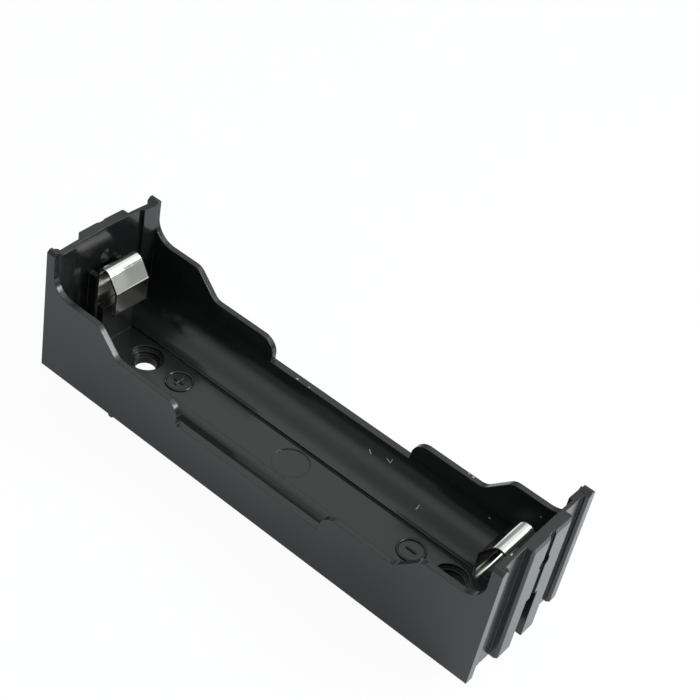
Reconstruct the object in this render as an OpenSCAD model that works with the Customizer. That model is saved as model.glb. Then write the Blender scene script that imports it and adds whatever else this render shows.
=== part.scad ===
// Single cylindrical cell holder with solder pins, for mounting on a board.
// The board face lies on z = 0, the cell bay opens upward and the pins point down.

/* [Cell] */
// Diameter of the cell
cell_d = 18.4; // [17.8:0.1:18.6]
// Length of the cell
cell_l = 65.2; // [64.5:0.1:67]
// Side play of the cell in the bay
cell_fit = 0.2; // [0.1:0.05:0.4]
// Room left for a spring contact at each end of the cell
spring_room = 4.4; // [4:0.1:5.5]

/* [Housing] */
// Overall height above the board
body_h = 20.9; // [20:0.1:23]
// Thickness of the side walls
wall_t = 0.9; // [0.8:0.05:1.4]
// Thickness of the end walls at the corners
end_t = 1.75; // [1.5:0.05:2.2]
// Thickness of the floor
floor_t = 2.5; // [2:0.1:3.2]
// How far the end walls stop below the corner posts
end_drop = 0.45; // [0.3:0.05:0.8]
// Rise of the end wall tops towards the middle
end_crown = 0.38; // [0.1:0.01:0.6]
// Width of the corner posts across the holder
post_w = 1.3; // [1.1:0.1:1.8]
// Chamfer on the tips of the corner posts
post_chamfer = 0.4; // [0.1:0.05:0.6]

/* [Cradle] */
// Radius of the curve from the side wall to the floor
cradle_r = 5.6; // [4.5:0.1:6.4]
// Half width of the flat floor band
band_half = 3.3; // [2.8:0.1:3.6]
// Step down from the cradle to the floor band
band_step = 0.4; // [0.2:0.05:0.8]

/* [Side wall edge] */
// Height of the wall shoulder next to the posts
shoulder_z = 14.2; // [13:0.1:15.5]
// Height of the wall between shoulder and finger opening
step_z = 10.35; // [9.5:0.1:11.5]
// Height of the wall in the finger opening
opening_z = 7; // [6:0.1:8.5]
// Length of each corner post along the holder
post_l = 1.5; // [1.2:0.1:2]
// Radius between post and shoulder
post_r = 3.4; // [2:0.1:4]
// Distance from the end to the middle of the ramp
ramp_in = 12.4; // [11.5:0.1:13.5]
// Radius at both ends of the ramp
ramp_r = 2; // [1:0.1:3]
// Distance from the end to the finger opening
opening_in = 26; // [24:0.5:28]
// Radius of the shoulder at the finger opening
opening_r = 2.4; // [1:0.1:2.8]

/* [End faces] */
// Width of the corner pads
pad_w = 1.7; // [1.2:0.1:2.4]
// Width of the raised middle pad
mid_pad_w = 8.7; // [7.5:0.1:9.5]
// How far the middle pad stands out past the corner pads
mid_pad_out = 0.5; // [0.1:0.05:0.8]
// Depth of the slope along the top of the middle pad
mid_slope_d = 0.2; // [0.1:0.05:0.4]
// Height of that slope
mid_slope_h = 0.65; // [0.4:0.05:0.9]
// Depth of the channels between the pads
channel_d = 0.7; // [0.5:0.05:0.8]
// Chamfer along both edges of each channel
channel_chamfer = 0.35; // [0.1:0.05:0.4]
// Width of the pocket for the contact inside each end wall
pocket_w = 13.4; // [12:0.1:14]
// Depth of that pocket
pocket_d = 0.5; // [0.2:0.05:0.55]
// Width of the pin slot
slot_w = 2.6; // [2:0.1:3.2]
// Height of the pin slot at the outer face
slot_h = 9.2; // [8:0.1:10.5]
// Height of the pin slot at its inner end
slot_back_h = 7.5; // [6.5:0.1:8]
// How far the pin slot reaches in from the end
slot_in = 3.4; // [3.3:0.1:3.9]
// Width of the groove above the pin slot
groove_w = 1.2; // [0.8:0.1:1.6]
// Depth of the groove above the pin slot
groove_d = 0.35; // [0.2:0.05:0.5]
// Diameter of the vent hole
vent_d = 2.1; // [1.5:0.1:2.6]
// Height of the vent hole
vent_z = 15.6; // [14.5:0.1:17]

/* [Board face] */
// Distance between the screw holes
screw_pitch = 56; // [50:0.5:58]
// Diameter of the screw holes
screw_d = 3.2; // [2.8:0.1:3.6]
// Diameter of the upper counterbore
head_d = 5.3; // [4.8:0.1:5.8]
// Depth of the upper counterbore
head_t = 0.6; // [0.4:0.1:0.8]
// Diameter of the lower counterbore
neck_d = 4.3; // [3.8:0.1:4.6]
// Depth of the lower counterbore
neck_t = 0.7; // [0.4:0.1:0.9]
// Diameter of the ring round each screw hole
ring_d = 6.2; // [5.8:0.1:7]
// Width of that ring
ring_w = 0.25; // [0.15:0.05:0.4]
// Depth of that ring
ring_t = 0.2; // [0.1:0.05:0.4]
// Width of the middle plate on the board face
plate_w = 10; // [9:0.1:10.8]
// Width of the strip along each long side
strip_w = 1.95; // [1.6:0.05:2.4]
// Distance from the end to the underside channels
trough_in = 1.8; // [1.5:0.1:3]
// Shell left between the underside channels and the cradle
shell_t = 1; // [0.8:0.05:1.2]
// Diameter of the gate disc in the floor
gate_d = 5.5; // [4.5:0.1:6]
// Depth of the gate disc
gate_t = 0.15; // [0.1:0.05:0.3]
// Width of the corner marks
mark_w = 0.3; // [0.2:0.05:0.4]
// Depth of the corner marks
mark_t = 0.3; // [0.15:0.05:0.5]
// Length of the long corner marks
mark_l = 1.7; // [1:0.1:2.2]
// Distance from the side faces to the long corner marks
mark_in = 0.45; // [0.3:0.05:0.8]
// Length of the short corner marks
short_mark_l = 0.9; // [0.6:0.1:1.2]
// Distance from the middle to the short corner marks
short_mark_y = 6.4; // [5.6:0.1:7.2]

/* [Contact] */
// Width of the contact strip
strip_leaf_w = 6.2; // [5:0.1:6.4]
// Thickness of the contact strip
leaf_t = 0.4; // [0.3:0.05:0.5]
// Distance from the end to the back of the fixed leg
leg_in = 2.8; // [2.7:0.05:3]
// Height of the top of the fold
fold_z = 16.35; // [15.5:0.05:17]
// Outer radius of the fold
fold_r = 1.4; // [1.1:0.05:1.6]
// Slope of the sprung face below the fold
face_slope = 56; // [50:1:62]
// Length of the sprung face
face_l = 2.5; // [2:0.1:3]
// Outer radius of the bend under the sprung face
bend_r = 0.7; // [0.5:0.05:1]
// Height of the lower end of the leaf
leaf_end_z = 9; // [8:0.1:9.5]
// Outer radius of the curled free end
curl_r = 0.9; // [0.7:0.05:1.1]
// Width of the solder pin
pin_w = 1.15; // [0.9:0.05:1.4]
// Length of the solder pin below the board face
pin_l = 3.8; // [2.5:0.1:5]
// Chamfer on the tip of the solder pin
pin_chamfer = 0.2; // [0.1:0.05:0.3]
// Height of the block in front of the fixed leg
block_z = 9.4; // [8:0.1:10]
// Thickness of that block
block_t = 1.2; // [1:0.1:1.4]
// Height of the ribs behind the fixed leg
rib_z = 14; // [12:0.1:14.4]
// Thickness of those ribs
rib_w = 0.9; // [0.7:0.1:1.2]
// Play of the fixed leg between block and ribs
leg_fit = 0.05; // [0.02:0.01:0.1]

/* [Hidden] */
$fn = 48;
over = 1;
wedge_over = 0.5;
crown_fn = 360;
body_w = cell_d + 2 * (cell_fit + wall_t);
body_l = cell_l + 2 * (spring_room + end_t);
half_l = body_l / 2;
half_w = body_w / 2;
mid_l = half_l + mid_pad_out;
bay_half = half_l - end_t;
bay_w = body_w - 2 * wall_t;
pocket_half = bay_half + pocket_d;
end_z = body_h - end_drop;
crown_z = end_z + end_crown;
cradle_z = floor_t + band_step;
cradle_y = bay_w / 2 - cradle_r;
trough_half = half_l - trough_in;
block_x = half_l - leg_in - leaf_t - leg_fit;
rib_x = half_l - leg_in + leg_fit;
face_dir = 90 - face_slope;

// Wedge from past a corner to the circle that rounds it; a and b leave the corner.
module corner_wedge(corner, a, b, r) {
  ua = a / norm(a);
  ub = b / norm(b);
  turn = acos(ua * ub) / 2;
  aim = (ua + ub) / norm(ua + ub) / sin(turn);
  centre = corner + r * aim;
  touch_a = corner + ua * r / tan(turn) - centre;
  touch_b = corner + ub * r / tan(turn) - centre;
  reach = 1 + wedge_over / r;
  difference() {
    polygon([centre, centre + reach * touch_a, corner - wedge_over * aim, centre + reach * touch_b]);
    translate(centre) circle(r);
  }
}

// One half of the side wall outline, seen from the side, with the end at x = half_l.
module half_wall() {
  rise = shoulder_z - step_z;
  top = [half_l - ramp_in + rise / 2, shoulder_z];
  foot = [half_l - ramp_in - rise / 2, step_z];
  post = [half_l - post_l, shoulder_z];
  lip = [half_l - opening_in, step_z];
  difference() {
    union() {
      polygon([
        [0, 0], [half_l, 0], [half_l, body_h], [post.x, body_h], post,
        top, foot, lip, [lip.x, opening_z], [0, opening_z]
      ]);
      corner_wedge(post, [0, 1], [-1, 0], post_r);
      corner_wedge(foot, [1, 1], [-1, 0], ramp_r);
    }
    corner_wedge(top, [1, 0], [-1, -1], ramp_r);
    corner_wedge(lip, [1, 0], [0, -1], opening_r);
  }
}

// Room of the cell bay across the holder, without the floor band.
module bay_section() {
  difference() {
    translate([-bay_w / 2, cradle_z]) square([bay_w, body_h]);
    for (side = [-1, 1])
      scale([side, 1])
        corner_wedge([bay_w / 2, cradle_z], [0, 1], [-1, 0], cradle_r);
  }
}

// Channel under the cradle on one side of the board face.
module trough_section() {
  difference() {
    translate([plate_w / 2, -over]) square([half_w - strip_w - plate_w / 2, cradle_r + cradle_z]);
    translate([cradle_y, cradle_z + cradle_r]) circle(cradle_r + shell_t);
  }
}

// Solid run of a section along the holder, centred on the middle.
module run_along(length) {
  rotate([90, 0, 90]) translate([0, 0, -length / 2]) linear_extrude(length) children();
}

// Solid run of a side view across the holder, centred on the middle.
module run_across(width) {
  rotate([90, 0, 0]) translate([0, 0, -width / 2]) linear_extrude(width) children();
}

// Copies onto both ends of the holder.
module both_ends() {
  for (turn = [0, 180]) rotate([0, 0, turn]) children();
}

// What is cut off above the end walls: a low crown between the sloping sides of the posts.
module crown_cut() {
  side_y = half_w - post_w;
  crown_r = (side_y * side_y + end_crown * end_crown) / (2 * end_crown);
  lean = end_drop + over;
  difference() {
    polygon([
      [-side_y, end_z], [side_y, end_z],
      [side_y + lean, end_z + lean], [-side_y - lean, end_z + lean]
    ]);
    translate([0, crown_z - crown_r]) circle(crown_r, $fn = crown_fn);
  }
}

// What the slope takes off the top of the middle pad at the +X end, seen from the side.
module slope_cut() {
  polygon([
    [mid_l - mid_slope_d, crown_z], [mid_l, crown_z - mid_slope_h], [mid_l + over, crown_z - mid_slope_h],
    [mid_l + over, body_h + over], [mid_l - mid_slope_d, body_h + over]
  ]);
}

// Channel between the middle pad and the corner pad at +X +Y, seen from above.
module channel_section() {
  floor_x = half_l - channel_d;
  mid_y = mid_pad_w / 2;
  corner_y = half_w - pad_w;
  flare = channel_chamfer + over;
  polygon([
    [floor_x, mid_y], [mid_l - channel_chamfer, mid_y], [mid_l + over, mid_y - flare],
    [half_l + over, corner_y + flare], [half_l - channel_chamfer, corner_y], [floor_x, corner_y]
  ]);
}

// Outer block with the pads and channels of the end faces and the low tops of the end walls.
module shell_block() {
  difference() {
    union() {
      translate([-half_l, -half_w, 0]) cube([body_l, body_w, body_h]);
      translate([-mid_l, -mid_pad_w / 2, 0]) cube([2 * mid_l, mid_pad_w, body_h]);
    }
    run_along(2 * (mid_l + over)) crown_cut();
    both_ends() {
      for (side = [-1, 1])
        scale([1, side, 1])
          translate([0, 0, -over]) linear_extrude(body_h + 2 * over) channel_section();
      run_across(body_w) slope_cut();
      for (side = [-1, 1])
        translate([half_l, side * half_w, body_h]) rotate([45, 0, 0])
          cube([3 * post_l, post_chamfer * sqrt(2), post_chamfer * sqrt(2)], center = true);
    }
  }
}

// What is cut off above the side walls; the end walls keep their height.
module outline_cut() {
  difference() {
    translate([0, 0, body_h]) cube([body_l - 2 * post_l, body_w + over, 2 * body_h], center = true);
    run_across(body_w + 2 * over) {
      half_wall();
      mirror([1, 0]) half_wall();
    }
    both_ends()
      translate([bay_half, -bay_w / 2, 0]) cube([end_t, bay_w, body_h]);
  }
}

// Cell bay between the end walls, with a pocket for the contact in each of them.
module bay() {
  run_along(2 * bay_half) bay_section();
  run_along(2 * pocket_half) {
    translate([-band_half, floor_t]) square([2 * band_half, body_h]);
    intersection() {
      bay_section();
      translate([-pocket_w / 2, 0]) square([pocket_w, 2 * body_h]);
    }
  }
}

// Pin slot with its sloping end, and the groove and vent hole above it.
module end_cuts() {
  run_across(slot_w)
    polygon([
      [half_l - slot_in, -over], [mid_l + over, -over], [mid_l + over, slot_h],
      [mid_l, slot_h], [half_l - slot_in, slot_back_h]
    ]);
  translate([mid_l - groove_d, -groove_w / 2, 0]) cube([over, groove_w, body_h + over]);
  translate([bay_half - over, 0, vent_z]) rotate([0, 90, 0]) cylinder(d = vent_d, h = end_t + 3 * over);
}

// Screw hole with its counterbores above and the ring round it below.
module screw_cut() {
  translate([0, 0, -over]) cylinder(d = screw_d, h = floor_t + 2 * over);
  translate([0, 0, floor_t - head_t]) cylinder(d = head_d, h = head_t + over);
  translate([0, 0, floor_t - head_t - neck_t]) cylinder(d = neck_d, h = neck_t + over);
  difference() {
    translate([0, 0, -over]) cylinder(d = ring_d, h = over + ring_t);
    translate([0, 0, -2 * over]) cylinder(d = ring_d - 2 * ring_w, h = 3 * over + ring_t);
  }
}

// Shallow witness marks at the ends of the board face.
module corner_marks() {
  for (side = [-1, 1])
    scale([1, side, 1])
      translate([half_l - trough_in + mark_w, 0, -over]) {
        translate([-mark_l, half_w - mark_in - mark_w, 0]) cube([mark_l, mark_w, over + mark_t]);
        translate([0, short_mark_y - mark_w / 2, 0]) cube([short_mark_l, mark_w, over + mark_t]);
      }
}

// Block in front of the fixed leg and ribs behind it.
module leg_support() {
  translate([block_x - block_t, -strip_leaf_w / 2, 0])
    cube([block_t, strip_leaf_w, block_z]);
  for (side = [-1, 1])
    scale([1, side, 1])
      translate([rib_x, strip_leaf_w / 2 - rib_w, 0])
        cube([half_l - channel_d - rib_x, rib_w, rib_z]);
}

// Moulded housing.
module housing() {
  color("#2b2e30")
    difference() {
      union() {
        difference() {
          shell_block();
          outline_cut();
          bay();
        }
        both_ends() leg_support();
      }
      both_ends() {
        end_cuts();
        corner_marks();
        translate([screw_pitch / 2, 0, 0]) screw_cut();
      }
      for (side = [-1, 1])
        scale([1, side, 1]) run_along(2 * trough_half) trough_section();
      translate([0, 0, floor_t - gate_t]) cylinder(d = gate_d, h = gate_t + over);
    }
}

// Filled side view of the sprung strip, shrunk by inset; x counts from the end of the housing inward.
module strip_outline(inset) {
  aim = [cos(face_dir), sin(face_dir)];
  down = [sin(face_dir), -cos(face_dir)];
  fold = [leg_in + fold_r, fold_z - fold_r];
  bend = fold + (fold_r - bend_r) * aim + face_l * down;
  back = leg_in + inset;
  front = bend.x + bend_r - inset;
  low = leaf_end_z + inset;
  face = fold + (fold_r - inset) * aim;
  peak = [back, face.y + (face.x - back) * tan(face_slope)];
  knee = [front, face.y - (front - face.x) * tan(face_slope)];
  end_x = bend.x + bend_r - curl_r;
  difference() {
    polygon([
      [back, floor_t - inset], peak, knee, [front, low],
      [end_x, low], [end_x, floor_t - inset]
    ]);
    corner_wedge(peak, [0, -1], down, fold_r - inset);
    corner_wedge(knee, -down, [0, -1], bend_r - inset);
    corner_wedge([front, low], [0, 1], [-1, 0], curl_r - inset);
  }
}

// Side view of the sprung strip.
module strip_section() {
  difference() {
    strip_outline(0);
    strip_outline(leaf_t);
  }
}

// Solder pin below the fixed leg, seen from the end.
module pin_section() {
  polygon([
    [-pin_w / 2, block_z], [-pin_w / 2, pin_chamfer - pin_l], [pin_chamfer - pin_w / 2, -pin_l],
    [pin_w / 2 - pin_chamfer, -pin_l], [pin_w / 2, pin_chamfer - pin_l], [pin_w / 2, block_z]
  ]);
}

// Contact at the +X end: a sprung strip with its solder pin.
module contact() {
  color("#c9ccc8") {
    translate([half_l, 0, 0]) mirror([1, 0, 0]) run_across(strip_leaf_w) strip_section();
    translate([half_l - leg_in - leaf_t, 0, 0]) rotate([90, 0, 90]) linear_extrude(leaf_t) pin_section();
  }
}

module positive_contact() {
  rotate([0, 0, 180]) contact();
}

module negative_contact() {
  contact();
}

housing();
positive_contact();
negative_contact();
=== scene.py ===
"""Visual model of an open holder for one cylindrical cell: moulded housing, sprung contacts and small marks."""
import logging
import math
from dataclasses import dataclass
from enum import Enum

import bpy
from mathutils import Matrix, Vector


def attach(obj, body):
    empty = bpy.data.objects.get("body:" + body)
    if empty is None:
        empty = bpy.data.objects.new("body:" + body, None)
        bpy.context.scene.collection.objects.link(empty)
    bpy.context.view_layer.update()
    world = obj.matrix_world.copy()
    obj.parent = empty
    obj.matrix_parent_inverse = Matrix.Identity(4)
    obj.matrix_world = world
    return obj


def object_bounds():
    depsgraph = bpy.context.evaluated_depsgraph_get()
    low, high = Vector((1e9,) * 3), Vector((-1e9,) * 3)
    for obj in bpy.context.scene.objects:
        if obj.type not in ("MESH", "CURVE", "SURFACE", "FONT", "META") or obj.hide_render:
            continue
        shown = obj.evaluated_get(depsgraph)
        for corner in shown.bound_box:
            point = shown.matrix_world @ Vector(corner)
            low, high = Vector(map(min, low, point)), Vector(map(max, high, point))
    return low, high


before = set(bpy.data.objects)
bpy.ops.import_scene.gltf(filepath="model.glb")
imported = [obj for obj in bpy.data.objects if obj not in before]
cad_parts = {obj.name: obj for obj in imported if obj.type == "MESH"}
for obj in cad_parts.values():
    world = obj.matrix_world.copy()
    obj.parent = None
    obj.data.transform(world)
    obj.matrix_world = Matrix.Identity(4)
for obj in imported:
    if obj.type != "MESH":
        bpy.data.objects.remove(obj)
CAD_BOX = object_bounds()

log = logging.getLogger("cell_holder")
MM = 0.001


class Pole(Enum):
    """Sign of the cell's end that a mark stands for."""

    PLUS = "plus"
    MINUS = "minus"


# ---------------------------------------------------------------------------
# Node building helpers
# ---------------------------------------------------------------------------

@dataclass
class Socket:
    """A named input or output of a node group."""

    name: str
    kind: str
    value: object = None


class NodeSheet:
    """Thin wrapper round a node tree that adds and links nodes in few words."""

    def __init__(self, tree: bpy.types.NodeTree) -> None:
        """Keep the tree to work on."""
        self.tree = tree

    def add(self, kind: str, **settings: object) -> bpy.types.Node:
        """Add a node.

        Args:
            kind: The node's class name.
            **settings: Attributes to set on the node.

        Returns:
            The new node.
        """
        node = self.tree.nodes.new(kind)
        for name, value in settings.items():
            setattr(node, name, value)
        return node

    def feed(self, node: bpy.types.Node, **values: object) -> bpy.types.Node:
        """Set or link inputs by name, with underscores for spaces.

        Args:
            node: The node whose inputs are set.
            **values: A socket to link from, or a plain value, per input.

        Returns:
            The same node.
        """
        for name, value in values.items():
            self.put(node.inputs[name.replace("_", " ")], value)
        return node

    def put(self, target: bpy.types.NodeSocket, value: object) -> None:
        """Link a socket or set a plain value on one input."""
        if isinstance(value, bpy.types.NodeSocket):
            self.tree.links.new(value, target)
        else:
            target.default_value = value

    def math(self, operation: str, *values: object, clamp: bool = False) -> bpy.types.NodeSocket:
        """Add a Math node.

        Args:
            operation: The Math node's operation.
            *values: Sockets or numbers for its inputs, in order.
            clamp: Whether the result is kept within 0 and 1.

        Returns:
            The node's output.
        """
        node = self.add("ShaderNodeMath", operation=operation, use_clamp=clamp)
        for target, value in zip(node.inputs, values):
            self.put(target, value)
        return node.outputs[0]

    def vector(self, operation: str, *values: object, scale: object = None) -> bpy.types.Node:
        """Add a Vector Math node.

        Args:
            operation: The node's operation.
            *values: Sockets or vectors for its vector inputs, in order.
            scale: Socket or number for the Scale input, if it has one.

        Returns:
            The node.
        """
        node = self.add("ShaderNodeVectorMath", operation=operation)
        for target, value in zip(node.inputs, values):
            self.put(target, value)
        if scale is not None:
            self.put(node.inputs["Scale"], scale)
        return node

    def ramp(self, value: object, low: float, high: float,
             start: float = 0.0, end: float = 1.0, smooth: bool = True) -> bpy.types.NodeSocket:
        """Map a value from one range to another, clamped.

        Args:
            value: The socket or number to map.
            low: Input that gives start.
            high: Input that gives end.
            start: Output at low.
            end: Output at high.
            smooth: Whether the ends are eased.

        Returns:
            The mapped value's socket.
        """
        node = self.add("ShaderNodeMapRange")
        node.interpolation_type = "SMOOTHSTEP" if smooth else "LINEAR"
        for name, number in (("Value", value), ("From Min", low), ("From Max", high),
                             ("To Min", start), ("To Max", end)):
            self.put(node.inputs[name], number)
        return node.outputs["Result"]

    def mix(self, factor: object, first: object, second: object) -> bpy.types.NodeSocket:
        """Mix two colours by a factor and return the colour socket."""
        node = self.add("ShaderNodeMix", data_type="RGBA")
        colours = [s for s in node.inputs if s.type == "RGBA"]
        self.put(node.inputs[0], factor)
        self.put(colours[0], first)
        self.put(colours[1], second)
        return next(s for s in node.outputs if s.type == "RGBA")

    def noise(self, place: object, scale: float, detail: float = 3.0,
              roughness: float = 0.5) -> bpy.types.NodeSocket:
        """Add noise at a place in metres, with its scale in cycles per metre."""
        node = self.add("ShaderNodeTexNoise")
        self.feed(node, Vector=place, Scale=scale, Detail=detail, Roughness=roughness)
        return node.outputs[0]


def shader_group(name: str, sockets_in: list[Socket], sockets_out: list[Socket]):
    """Make an empty shader node group with named sockets.

    Args:
        name: The group's name.
        sockets_in: Its inputs.
        sockets_out: Its outputs.

    Returns:
        The node tree, its sheet, its input node and its output node.
    """
    tree = bpy.data.node_groups.new(name, "ShaderNodeTree")
    for spec, direction in [(s, "INPUT") for s in sockets_in] + [(s, "OUTPUT") for s in sockets_out]:
        socket = tree.interface.new_socket(spec.name, in_out=direction, socket_type=spec.kind)
        if spec.value is not None:
            socket.default_value = spec.value
    sheet = NodeSheet(tree)
    return tree, sheet, sheet.add("NodeGroupInput"), sheet.add("NodeGroupOutput")


FLOAT, VECTOR, COLOR = "NodeSocketFloat", "NodeSocketVector", "NodeSocketColor"


# ---------------------------------------------------------------------------
# Effects shared by the finishes
# ---------------------------------------------------------------------------

class Effects:
    """Shader node groups for what moulding, handling and dust leave on a surface; the edge mask also paints an edge
    highlight.
    """

    def __init__(self) -> None:
        """Build every group once."""
        self.edge_wear_and_highlight = self._edge_wear_and_highlight()
        self.fine_grain = self._fine_grain()
        self.hairlines = self._hairlines()
        self.dust = self._dust()
        self.nick = self._nick()

    @staticmethod
    def _edge_wear_and_highlight() -> bpy.types.NodeTree:
        """Mask of outer edges, broken up by noise: partly handling wear, partly a painted edge highlight."""
        tree, sheet, given, out = shader_group(
            "edge_wear_and_highlight",
            [Socket("Vector", VECTOR), Socket("Rounded", VECTOR), Socket("Amount", FLOAT, 0.6)],
            [Socket("Mask", FLOAT)])
        geometry = sheet.add("ShaderNodeNewGeometry")
        along = sheet.vector("DOT_PRODUCT", given.outputs["Rounded"], geometry.outputs["Normal"])
        turned = sheet.ramp(along.outputs["Value"], 0.995, 0.80)
        patchy = sheet.ramp(sheet.noise(given.outputs["Vector"], 900.0, 4.0, 0.7), 0.35, 0.62)
        broken = sheet.math("MULTIPLY", turned, patchy)
        sheet.put(out.inputs["Mask"], sheet.math("MULTIPLY", broken, given.outputs["Amount"], clamp=True))
        return tree

    @staticmethod
    def _fine_grain() -> bpy.types.NodeTree:
        """Soft unevenness of a moulded or rolled surface, as a height and a mask."""
        tree, sheet, given, out = shader_group(
            "fine_grain",
            [Socket("Vector", VECTOR), Socket("Wave Scale", FLOAT, 90.0), Socket("Grain Scale", FLOAT, 4000.0)],
            [Socket("Height", FLOAT), Socket("Mask", FLOAT)])
        wave = sheet.noise(given.outputs["Vector"], given.outputs["Wave Scale"], 2.0, 0.4)
        grain = sheet.noise(given.outputs["Vector"], given.outputs["Grain Scale"], 2.0, 0.6)
        sheet.put(out.inputs["Height"], sheet.math("MULTIPLY_ADD", grain, 0.12, wave))
        sheet.put(out.inputs["Mask"], sheet.ramp(wave, 0.35, 0.65))
        return tree

    @staticmethod
    def _hairlines() -> bpy.types.NodeTree:
        """Faint straight rubs that run along one direction of the surface."""
        tree, sheet, given, out = shader_group(
            "hairlines",
            [Socket("Vector", VECTOR), Socket("Stretch", VECTOR, (60.0, 2500.0, 2500.0)),
             Socket("Cover", FLOAT, 0.12)],
            [Socket("Mask", FLOAT)])
        drawn = sheet.vector("MULTIPLY", given.outputs["Vector"], given.outputs["Stretch"])
        lines = sheet.noise(drawn.outputs[0], 1.0, 3.0, 0.65)
        sheet.put(out.inputs["Mask"],
                  sheet.math("MULTIPLY", sheet.ramp(lines, 0.62, 0.74), given.outputs["Cover"], clamp=True))
        return tree

    @staticmethod
    def _dust() -> bpy.types.NodeTree:
        """Sparse pale specks of dust."""
        tree, sheet, given, out = shader_group(
            "dust",
            [Socket("Vector", VECTOR), Socket("Density", FLOAT, 420.0), Socket("Share", FLOAT, 0.12)],
            [Socket("Mask", FLOAT)])
        cells = sheet.add("ShaderNodeTexVoronoi", feature="F1")
        sheet.feed(cells, Vector=given.outputs["Vector"], Scale=given.outputs["Density"])
        split = sheet.add("ShaderNodeSeparateColor")
        sheet.put(split.inputs[0], cells.outputs["Color"])
        kept = sheet.math("LESS_THAN", split.outputs[0], given.outputs["Share"])
        size = sheet.math("MULTIPLY_ADD", split.outputs[1], 0.035, 0.012)
        near = sheet.math("LESS_THAN", cells.outputs["Distance"], size)
        sheet.put(out.inputs["Mask"], sheet.math("MULTIPLY", kept, near))
        return tree

    @staticmethod
    def _nick() -> bpy.types.NodeTree:
        """Mask of one short scratch: a line of a given width between two points."""
        tree, sheet, given, out = shader_group(
            "nick",
            [Socket("Vector", VECTOR), Socket("Start", VECTOR), Socket("End", VECTOR), Socket("Width", FLOAT, 0.0001)],
            [Socket("Mask", FLOAT)])
        from_start = sheet.vector("SUBTRACT", given.outputs["Vector"], given.outputs["Start"]).outputs[0]
        run = sheet.vector("SUBTRACT", given.outputs["End"], given.outputs["Start"]).outputs[0]
        along = sheet.vector("DOT_PRODUCT", from_start, run).outputs["Value"]
        square = sheet.vector("DOT_PRODUCT", run, run).outputs["Value"]
        share = sheet.math("DIVIDE", along, square, clamp=True)
        foot = sheet.vector("SCALE", run, scale=share).outputs[0]
        gap = sheet.vector("DISTANCE", from_start, foot).outputs["Value"]
        ratio = sheet.math("DIVIDE", gap, given.outputs["Width"])
        sheet.put(out.inputs["Mask"], sheet.ramp(ratio, 1.0, 0.4))
        return tree


@dataclass(frozen=True)
class Nick:
    """A short bright scratch or speck, with its ends in millimetres."""

    start: tuple[float, float, float]
    end: tuple[float, float, float]
    width: float


# ---------------------------------------------------------------------------
# Finishes
# ---------------------------------------------------------------------------

@dataclass(frozen=True)
class MouldedBlack:
    """Black moulded plastic: glossy, softly uneven, lighter at the edges as partly wear and partly a painted edge
    highlight, with a few nicks and specks.
    """

    effects: Effects
    nicks: tuple[Nick, ...]
    base: tuple[float, float, float] = (0.0095, 0.0104, 0.0108)
    # Pale colour for the edges, partly wear and partly a painted edge highlight, and for the rubs.
    worn_and_highlight: tuple[float, float, float] = (0.075, 0.080, 0.076)
    pale: tuple[float, float, float] = (0.42, 0.43, 0.40)
    edge_radius: float = 0.00016
    roughness: float = 0.16
    ior: float = 1.52

    def build(self) -> bpy.types.Material:
        """Make the material and return it."""
        material = bpy.data.materials.new("moulded_black")
        material.use_nodes = True
        sheet = NodeSheet(material.node_tree)
        shader = material.node_tree.nodes["Principled BSDF"]
        place = sheet.add("ShaderNodeTexCoord").outputs["Object"]
        rounded = sheet.add("ShaderNodeBevel", samples=6)
        rounded.inputs["Radius"].default_value = self.edge_radius

        grain = self._place("fine_grain", sheet, place)
        wear_and_highlight = self._place("edge_wear_and_highlight", sheet, place)
        sheet.put(wear_and_highlight.inputs["Rounded"], rounded.outputs[0])
        rubs = self._place("hairlines", sheet, place)
        dust = self._place("dust", sheet, place)

        specks = dust.outputs["Mask"]
        for nick in self.nicks:
            node = self._place("nick", sheet, place)
            node.inputs["Start"].default_value = Vector(nick.start) * MM
            node.inputs["End"].default_value = Vector(nick.end) * MM
            node.inputs["Width"].default_value = nick.width * MM
            specks = sheet.math("MAXIMUM", specks, node.outputs["Mask"])

        clouded = sheet.math("MULTIPLY", grain.outputs["Mask"], 0.35)
        colour = sheet.mix(clouded, self._rgba(self.base), self._rgba(tuple(1.5 * c for c in self.base)))
        # Lighter edges: partly handling wear, partly a painted edge highlight.
        colour = sheet.mix(wear_and_highlight.outputs["Mask"], colour, self._rgba(self.worn_and_highlight))
        colour = sheet.mix(sheet.math("MULTIPLY", rubs.outputs["Mask"], 0.25), colour, self._rgba(self.worn_and_highlight))
        colour = sheet.mix(specks, colour, self._rgba(self.pale))
        dull = sheet.math("MULTIPLY_ADD", grain.outputs["Mask"], 0.05, self.roughness)
        dull = sheet.math("MULTIPLY_ADD", rubs.outputs["Mask"], 0.12, dull)
        dull = sheet.math("MULTIPLY_ADD", wear_and_highlight.outputs["Mask"], 0.15, dull, clamp=True)

        bump = sheet.add("ShaderNodeBump")
        sheet.feed(bump, Strength=0.05, Distance=0.0004, Height=grain.outputs["Height"],
                   Normal=rounded.outputs[0])
        sheet.feed(shader, Base_Color=colour, Roughness=dull, Normal=bump.outputs[0], IOR=self.ior)
        return material

    def _place(self, name: str, sheet: NodeSheet, place: bpy.types.NodeSocket) -> bpy.types.Node:
        """Place one of the shared groups, reading the given coordinates."""
        node = sheet.add("ShaderNodeGroup")
        node.node_tree = getattr(self.effects, name)
        sheet.put(node.inputs["Vector"], place)
        return node

    @staticmethod
    def _rgba(colour: tuple[float, ...]) -> tuple[float, float, float, float]:
        """Give a colour its alpha."""
        return (colour[0], colour[1], colour[2], 1.0)


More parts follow.
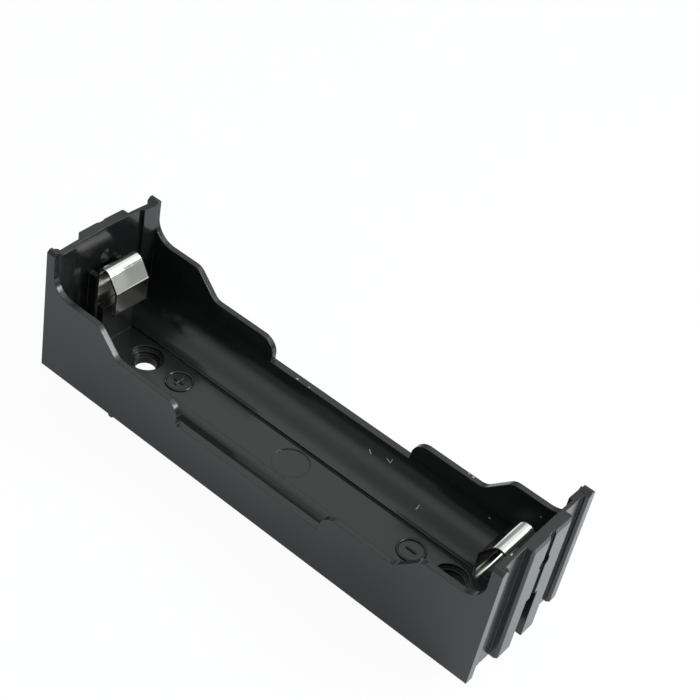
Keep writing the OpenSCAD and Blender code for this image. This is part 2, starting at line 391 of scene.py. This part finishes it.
@dataclass(frozen=True)
class NickelStrip:
    """Bright nickel plating on rolled strip, with faint rolling lines and a few rubs."""

    effects: Effects
    plate: tuple[float, float, float] = (0.80, 0.80, 0.755)
    rubbed: tuple[float, float, float] = (0.58, 0.56, 0.50)
    edge_radius: float = 0.00008
    roughness: float = 0.07

    def build(self) -> bpy.types.Material:
        """Make the material and return it."""
        material = bpy.data.materials.new("nickel_strip")
        material.use_nodes = True
        sheet = NodeSheet(material.node_tree)
        shader = material.node_tree.nodes["Principled BSDF"]
        place = sheet.add("ShaderNodeTexCoord").outputs["Object"]
        rounded = sheet.add("ShaderNodeBevel", samples=6)
        rounded.inputs["Radius"].default_value = self.edge_radius
        grain = sheet.add("ShaderNodeGroup", node_tree=self.effects.fine_grain)
        sheet.feed(grain, Vector=place, Wave_Scale=260.0, Grain_Scale=5200.0)
        lines = sheet.add("ShaderNodeGroup", node_tree=self.effects.hairlines)
        sheet.feed(lines, Vector=place, Stretch=(4200.0, 120.0, 900.0), Cover=0.3)
        colour = sheet.mix(lines.outputs["Mask"], (*self.plate, 1.0), (*self.rubbed, 1.0))
        dull = sheet.math("MULTIPLY_ADD", lines.outputs["Mask"], 0.08, self.roughness)
        dull = sheet.math("MULTIPLY_ADD", grain.outputs["Mask"], 0.06, dull, clamp=True)
        bump = sheet.add("ShaderNodeBump")
        sheet.feed(bump, Strength=0.05, Distance=0.0002, Height=grain.outputs["Height"],
                   Normal=rounded.outputs[0])
        sheet.feed(shader, Base_Color=colour, Roughness=dull, Normal=bump.outputs[0], Metallic=1.0)
        return material


# ---------------------------------------------------------------------------
# Pieces
# ---------------------------------------------------------------------------

def dress(node: str, material: bpy.types.Material) -> None:
    """Give a node of the frame its finish.

    Args:
        node: The node's name.
        material: The finish.
    """
    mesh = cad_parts[node].data
    mesh.materials.clear()
    mesh.materials.append(material)
    log.info("dressed %s with %s", node, material.name)


def baked(name: str, tree: bpy.types.NodeTree, values: dict[str, object]) -> bpy.types.Object:
    """Run a geometry node tree and keep its result as a plain mesh object.

    Args:
        name: The new object's name.
        tree: The geometry node tree.
        values: Its inputs by socket name.

    Returns:
        The finished object, at the origin, with no modifier.
    """
    seed = bpy.data.objects.new(name + "_seed", bpy.data.meshes.new(name + "_seed"))
    bpy.context.scene.collection.objects.link(seed)
    modifier = seed.modifiers.new("build", "NODES")
    modifier.node_group = tree
    for item in tree.interface.items_tree:
        if item.item_type == "SOCKET" and item.in_out == "INPUT" and item.name in values:
            modifier[item.identifier] = values[item.name]
    graph = bpy.context.evaluated_depsgraph_get()
    mesh = bpy.data.meshes.new_from_object(seed.evaluated_get(graph))
    bpy.data.objects.remove(seed)
    piece = bpy.data.objects.new(name, mesh)
    bpy.context.scene.collection.objects.link(piece)
    return piece


@dataclass
class PolarityMark:
    """A raised ring on the bay floor with a plus or minus sign in it. Sizes are in metres."""

    pole: Pole
    centre: Vector
    ring_radius: float = 1.95 * MM
    line_width: float = 0.42 * MM
    line_height: float = 0.26 * MM
    sign_length: float = 1.7 * MM

    def build(self, material: bpy.types.Material) -> bpy.types.Object:
        """Build the mark as one piece that rides on the housing.

        Args:
            material: The housing's finish.

        Returns:
            The mark.
        """
        values = {"Ring Radius": self.ring_radius, "Line Width": self.line_width,
                  "Line Height": self.line_height, "Sign Length": self.sign_length,
                  "Centre": self.centre, "Bars": 2 if self.pole is Pole.PLUS else 1}
        piece = baked(f"{self.pole.value}_mark", self._tree(material), values)
        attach(piece, "root")
        log.info("built %s with %d faces", piece.name, len(piece.data.polygons))
        return piece

    def _tree(self, material: bpy.types.Material) -> bpy.types.NodeTree:
        """Geometry nodes: a ridge swept round the ring and along each bar of the sign."""
        tree = bpy.data.node_groups.new(f"{self.pole.value}_mark", "GeometryNodeTree")
        face = tree.interface
        face.new_socket("Geometry", in_out="INPUT", socket_type="NodeSocketGeometry")
        for name in ("Ring Radius", "Line Width", "Line Height", "Sign Length"):
            face.new_socket(name, in_out="INPUT", socket_type=FLOAT)
        face.new_socket("Centre", in_out="INPUT", socket_type=VECTOR)
        face.new_socket("Bars", in_out="INPUT", socket_type="NodeSocketInt")
        face.new_socket("Geometry", in_out="OUTPUT", socket_type="NodeSocketGeometry")
        sheet = NodeSheet(tree)
        given, out = sheet.add("NodeGroupInput"), sheet.add("NodeGroupOutput")

        half_width = sheet.math("MULTIPLY", given.outputs["Line Width"], 0.5)
        ring = sheet.add("GeometryNodeCurvePrimitiveCircle", mode="RADIUS")
        sheet.feed(ring, Resolution=96, Radius=given.outputs["Ring Radius"])
        bar = sheet.add("GeometryNodeCurvePrimitiveLine", mode="DIRECTION")
        half_bar = sheet.math("MULTIPLY", given.outputs["Sign Length"], -0.5)
        start = sheet.add("ShaderNodeCombineXYZ")
        sheet.put(start.inputs["X"], half_bar)
        sheet.feed(bar, Start=start.outputs[0], Direction=(1.0, 0.0, 0.0), Length=given.outputs["Sign Length"])
        bars = sheet.add("GeometryNodeMeshLine", mode="OFFSET")
        sheet.feed(bars, Count=given.outputs["Bars"], Offset=(0.0, 0.0, 0.0))
        turned = sheet.add("GeometryNodeInstanceOnPoints")
        index = sheet.add("GeometryNodeInputIndex")
        quarter = sheet.math("MULTIPLY", index.outputs[0], math.pi / 2)
        turn = sheet.add("ShaderNodeCombineXYZ")
        sheet.put(turn.inputs["Z"], quarter)
        euler = sheet.add("FunctionNodeEulerToRotation")
        sheet.put(euler.inputs[0], turn.outputs[0])
        sheet.feed(turned, Points=bars.outputs[0], Instance=bar.outputs[0], Rotation=euler.outputs[0])
        real = sheet.add("GeometryNodeRealizeInstances")
        sheet.put(real.inputs[0], turned.outputs[0])
        lines = sheet.add("GeometryNodeJoinGeometry")
        tree.links.new(ring.outputs[0], lines.inputs[0])
        tree.links.new(real.outputs[0], lines.inputs[0])

        profile = sheet.add("GeometryNodeCurvePrimitiveCircle", mode="RADIUS")
        sheet.feed(profile, Resolution=12, Radius=half_width)
        swept = sheet.add("GeometryNodeCurveToMesh")
        sheet.put(swept.inputs["Curve"], lines.outputs[0])
        sheet.put(swept.inputs["Profile Curve"], profile.outputs[0])
        swept.inputs["Fill Caps"].default_value = True
        flat = sheet.add("GeometryNodeTransform")
        squeeze = sheet.add("ShaderNodeCombineXYZ")
        squeeze.inputs["X"].default_value = 1.0
        squeeze.inputs["Y"].default_value = 1.0
        sheet.put(squeeze.inputs["Z"],
                  sheet.math("DIVIDE", given.outputs["Line Height"], half_width))
        sheet.put(flat.inputs["Geometry"], swept.outputs[0])
        sheet.put(flat.inputs["Translation"], given.outputs["Centre"])
        sheet.put(flat.inputs["Scale"], squeeze.outputs[0])
        whole = sheet.add("GeometryNodeRealizeInstances")
        sheet.put(whole.inputs[0], flat.outputs[0])
        finish = sheet.add("GeometryNodeSetMaterial")
        sheet.put(finish.inputs["Geometry"], whole.outputs[0])
        finish.inputs["Material"].default_value = material
        sheet.put(out.inputs[0], finish.outputs[0])
        return tree


@dataclass
class TrimBurr:
    """A ragged crumb of plastic left hanging from the near lower edge. Sizes are in metres."""

    centre: Vector
    half_size: Vector
    raggedness: float = 0.12 * MM

    def build(self, material: bpy.types.Material) -> bpy.types.Object:
        """Build the crumb as one piece that rides on the housing.

        Args:
            material: The housing's finish.

        Returns:
            The crumb.
        """
        values = {"Centre": self.centre, "Half Size": self.half_size, "Raggedness": self.raggedness}
        piece = baked("trim_burr", self._tree(material), values)
        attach(piece, "root")
        log.info("built %s with %d faces", piece.name, len(piece.data.polygons))
        return piece

    @staticmethod
    def _tree(material: bpy.types.Material) -> bpy.types.NodeTree:
        """Geometry nodes: a ball with its points pushed about by noise, squeezed to size."""
        tree = bpy.data.node_groups.new("trim_burr", "GeometryNodeTree")
        face = tree.interface
        face.new_socket("Geometry", in_out="INPUT", socket_type="NodeSocketGeometry")
        face.new_socket("Centre", in_out="INPUT", socket_type=VECTOR)
        face.new_socket("Half Size", in_out="INPUT", socket_type=VECTOR)
        face.new_socket("Raggedness", in_out="INPUT", socket_type=FLOAT)
        face.new_socket("Geometry", in_out="OUTPUT", socket_type="NodeSocketGeometry")
        sheet = NodeSheet(tree)
        given, out = sheet.add("NodeGroupInput"), sheet.add("NodeGroupOutput")
        ball = sheet.add("GeometryNodeMeshIcoSphere")
        sheet.feed(ball, Radius=1.0, Subdivisions=4)
        place = sheet.add("GeometryNodeInputPosition").outputs[0]
        swing = sheet.math("SUBTRACT", sheet.noise(place, 1.4, 3.0, 0.6), 0.62)
        grown = sheet.vector("MULTIPLY_ADD", place, given.outputs["Half Size"], given.outputs["Centre"])
        push = sheet.vector("SCALE", place, scale=sheet.math("MULTIPLY", swing, given.outputs["Raggedness"]))
        moved = sheet.vector("ADD", grown.outputs[0], push.outputs[0])
        shaped = sheet.add("GeometryNodeSetPosition")
        sheet.feed(shaped, Geometry=ball.outputs[0], Position=moved.outputs[0])
        whole = sheet.add("GeometryNodeRealizeInstances")
        sheet.put(whole.inputs[0], shaped.outputs[0])
        finish = sheet.add("GeometryNodeSetMaterial")
        sheet.put(finish.inputs["Geometry"], whole.outputs[0])
        finish.inputs["Material"].default_value = material
        sheet.put(out.inputs[0], finish.outputs[0])
        return tree


@dataclass
class Housing:
    """The moulded housing with the marks on its bay floor and the crumb on its edge."""

    material: bpy.types.Material
    floor_z: float = 2.5 * MM
    mark_x: float = 21.4 * MM

    def build(self) -> None:
        """Dress the housing and build its marks."""
        dress("housing", self.material)
        for pole, side in ((Pole.PLUS, -1), (Pole.MINUS, 1)):
            PolarityMark(pole, Vector((side * self.mark_x, 0.0, self.floor_z))).build(self.material)
        TrimBurr(Vector((-24.75, -10.08, -0.22)) * MM, Vector((0.50, 0.20, 0.40)) * MM).build(self.material)


@dataclass
class Contacts:
    """The two sprung contacts."""

    material: bpy.types.Material

    def build(self) -> None:
        """Dress both contacts."""
        for node in ("positive_contact", "negative_contact"):
            dress(node, self.material)


# ---------------------------------------------------------------------------
# Studio
# ---------------------------------------------------------------------------

@dataclass
class Studio:
    """White table, soft lamps and the camera."""

    table_z: float
    table_size: float = 3.0
    camera_place: tuple[float, float, float] = (0.0842, -0.1304, 0.1587)
    camera_aim: tuple[float, float, float] = (-0.0050, 0.01715, 0.010)
    camera_roll: float = 12.55
    camera_lens: float = 81.8

    def build(self) -> None:
        """Build the table, the lamps, the surroundings and the camera."""
        self._table()
        self._surroundings()
        self._lamp("key_panel", (0.19, 0.10, 0.16), (0.06, 0.02, 0.0), (0.12, 0.12), 0.55)
        self._lamp("back_panel", (0.35, 0.75, 0.85), (0.0, 0.0, 0.0), (0.6, 0.5), 0.9)
        self._camera()

    def _table(self) -> None:
        """A large white table top that keeps the shadow of the holder."""
        half = self.table_size / 2
        corners = [(-half, -half, self.table_z), (half, -half, self.table_z),
                   (half, half, self.table_z), (-half, half, self.table_z)]
        mesh = bpy.data.meshes.new("table")
        mesh.from_pydata(corners, [], [(0, 1, 2, 3)])
        table = bpy.data.objects.new("table", mesh)
        bpy.context.scene.collection.objects.link(table)
        material = bpy.data.materials.new("white_table")
        material.use_nodes = True
        sheet = NodeSheet(material.node_tree)
        shader = material.node_tree.nodes["Principled BSDF"]
        sheet.feed(shader, Base_Color=(0.84, 0.89, 0.94, 1.0), Roughness=0.9)
        shader.inputs["Specular IOR Level"].default_value = 0.0
        glow = sheet.add("ShaderNodeEmission")
        glow.inputs["Color"].default_value = (1.0, 1.0, 1.0, 1.0)
        glow.inputs["Strength"].default_value = 1.0
        path = sheet.add("ShaderNodeLightPath")
        share = sheet.math("MULTIPLY", path.outputs["Is Camera Ray"], 0.95)
        share = sheet.math("MULTIPLY_ADD", path.outputs["Is Glossy Ray"], 0.19, share, clamp=True)
        mixed = sheet.add("ShaderNodeMixShader")
        sheet.put(mixed.inputs[0], share)
        sheet.put(mixed.inputs[1], shader.outputs[0])
        sheet.put(mixed.inputs[2], glow.outputs[0])
        output = material.node_tree.nodes["Material Output"]
        sheet.put(output.inputs["Surface"], mixed.outputs[0])
        mesh.materials.append(material)

    @staticmethod
    def _surroundings() -> None:
        """A plain room round the table: grey low down, white ceiling."""
        world = bpy.data.worlds.new("room")
        bpy.context.scene.world = world
        world.use_nodes = True
        background = world.node_tree.nodes["Background"]
        sheet = NodeSheet(world.node_tree)
        split = sheet.add("ShaderNodeSeparateXYZ")
        sheet.put(split.inputs[0], sheet.add("ShaderNodeTexCoord").outputs["Generated"])
        rise = sheet.ramp(split.outputs["Z"], 0.45, 0.70)
        fall = sheet.ramp(split.outputs["Z"], 0.97, 0.80, 0.35, 1.0)
        height = sheet.math("MULTIPLY", rise, fall)
        sheet.put(background.inputs["Color"], sheet.mix(height, (0.31, 0.34, 0.32, 1.0), (0.97, 1.0, 0.98, 1.0)))
        background.inputs["Strength"].default_value = 1.0

    @staticmethod
    def _lamp(name: str, place: tuple, aim: tuple, size: tuple, power: float) -> None:
        """Add a soft rectangular lamp.

        Args:
            name: The lamp's name.
            place: Where it hangs.
            aim: The point it faces.
            size: Its width and height.
            power: Its power in watts.
        """
        data = bpy.data.lights.new(name, "AREA")
        data.shape = "RECTANGLE"
        data.size, data.size_y = size
        data.energy = power
        lamp = bpy.data.objects.new(name, data)
        lamp.location = place
        lamp.rotation_euler = (Vector(aim) - Vector(place)).to_track_quat("-Z", "Y").to_euler()
        lamp.visible_camera = False
        bpy.context.scene.collection.objects.link(lamp)

    def _camera(self) -> None:
        """Place the camera above and to the right of the near side."""
        data = bpy.data.cameras.new("camera")
        data.lens = self.camera_lens
        data.sensor_width = 36.0
        data.clip_start = 0.01
        data.clip_end = 10.0
        camera = bpy.data.objects.new("camera", data)
        look = (Vector(self.camera_aim) - Vector(self.camera_place)).to_track_quat("-Z", "Y").to_matrix()
        roll = Matrix.Rotation(math.radians(self.camera_roll), 3, "Z")
        camera.matrix_world = Matrix.Translation(self.camera_place) @ (look @ roll).to_4x4()
        bpy.context.scene.collection.objects.link(camera)
        bpy.context.scene.camera = camera


def main() -> None:
    """Build the holder and its studio."""
    logging.basicConfig(level=logging.INFO, format="%(message)s")
    effects = Effects()
    nicks = (
        Nick((7.03, 8.17, 5.00), (7.47, 7.93, 4.72), 0.11),
        Nick((9.85, 8.40, 5.31), (10.66, 8.25, 5.10), 0.07),
        Nick((10.66, 8.25, 5.10), (10.69, 8.58, 5.59), 0.07),
        Nick((17.61, 5.77, 3.26), (17.63, 6.10, 3.40), 0.10),
        Nick((17.59, 6.30, 3.49), (17.62, 6.40, 3.54), 0.09),
        Nick((26.71, 9.07, 6.63), (26.90, 9.07, 6.63), 0.09),
        Nick((-7.91, 9.42, 7.00), (-7.72, 9.50, 7.00), 0.15),
        Nick((-5.63, 9.41, 7.00), (-5.52, 9.43, 7.00), 0.10),
        Nick((22.48, 10.00, 10.35), (22.30, 10.06, 10.35), 0.13),
        Nick((21.72, 10.10, 10.35), (21.50, 10.14, 10.35), 0.08),
    )
    Housing(MouldedBlack(effects, nicks).build()).build()
    Contacts(NickelStrip(effects).build()).build()
    Studio(table_z=CAD_BOX[0][2] - 0.05 * MM).build()
    bpy.context.scene.view_settings.view_transform = "Standard"


if __name__ == "__main__":
    main()
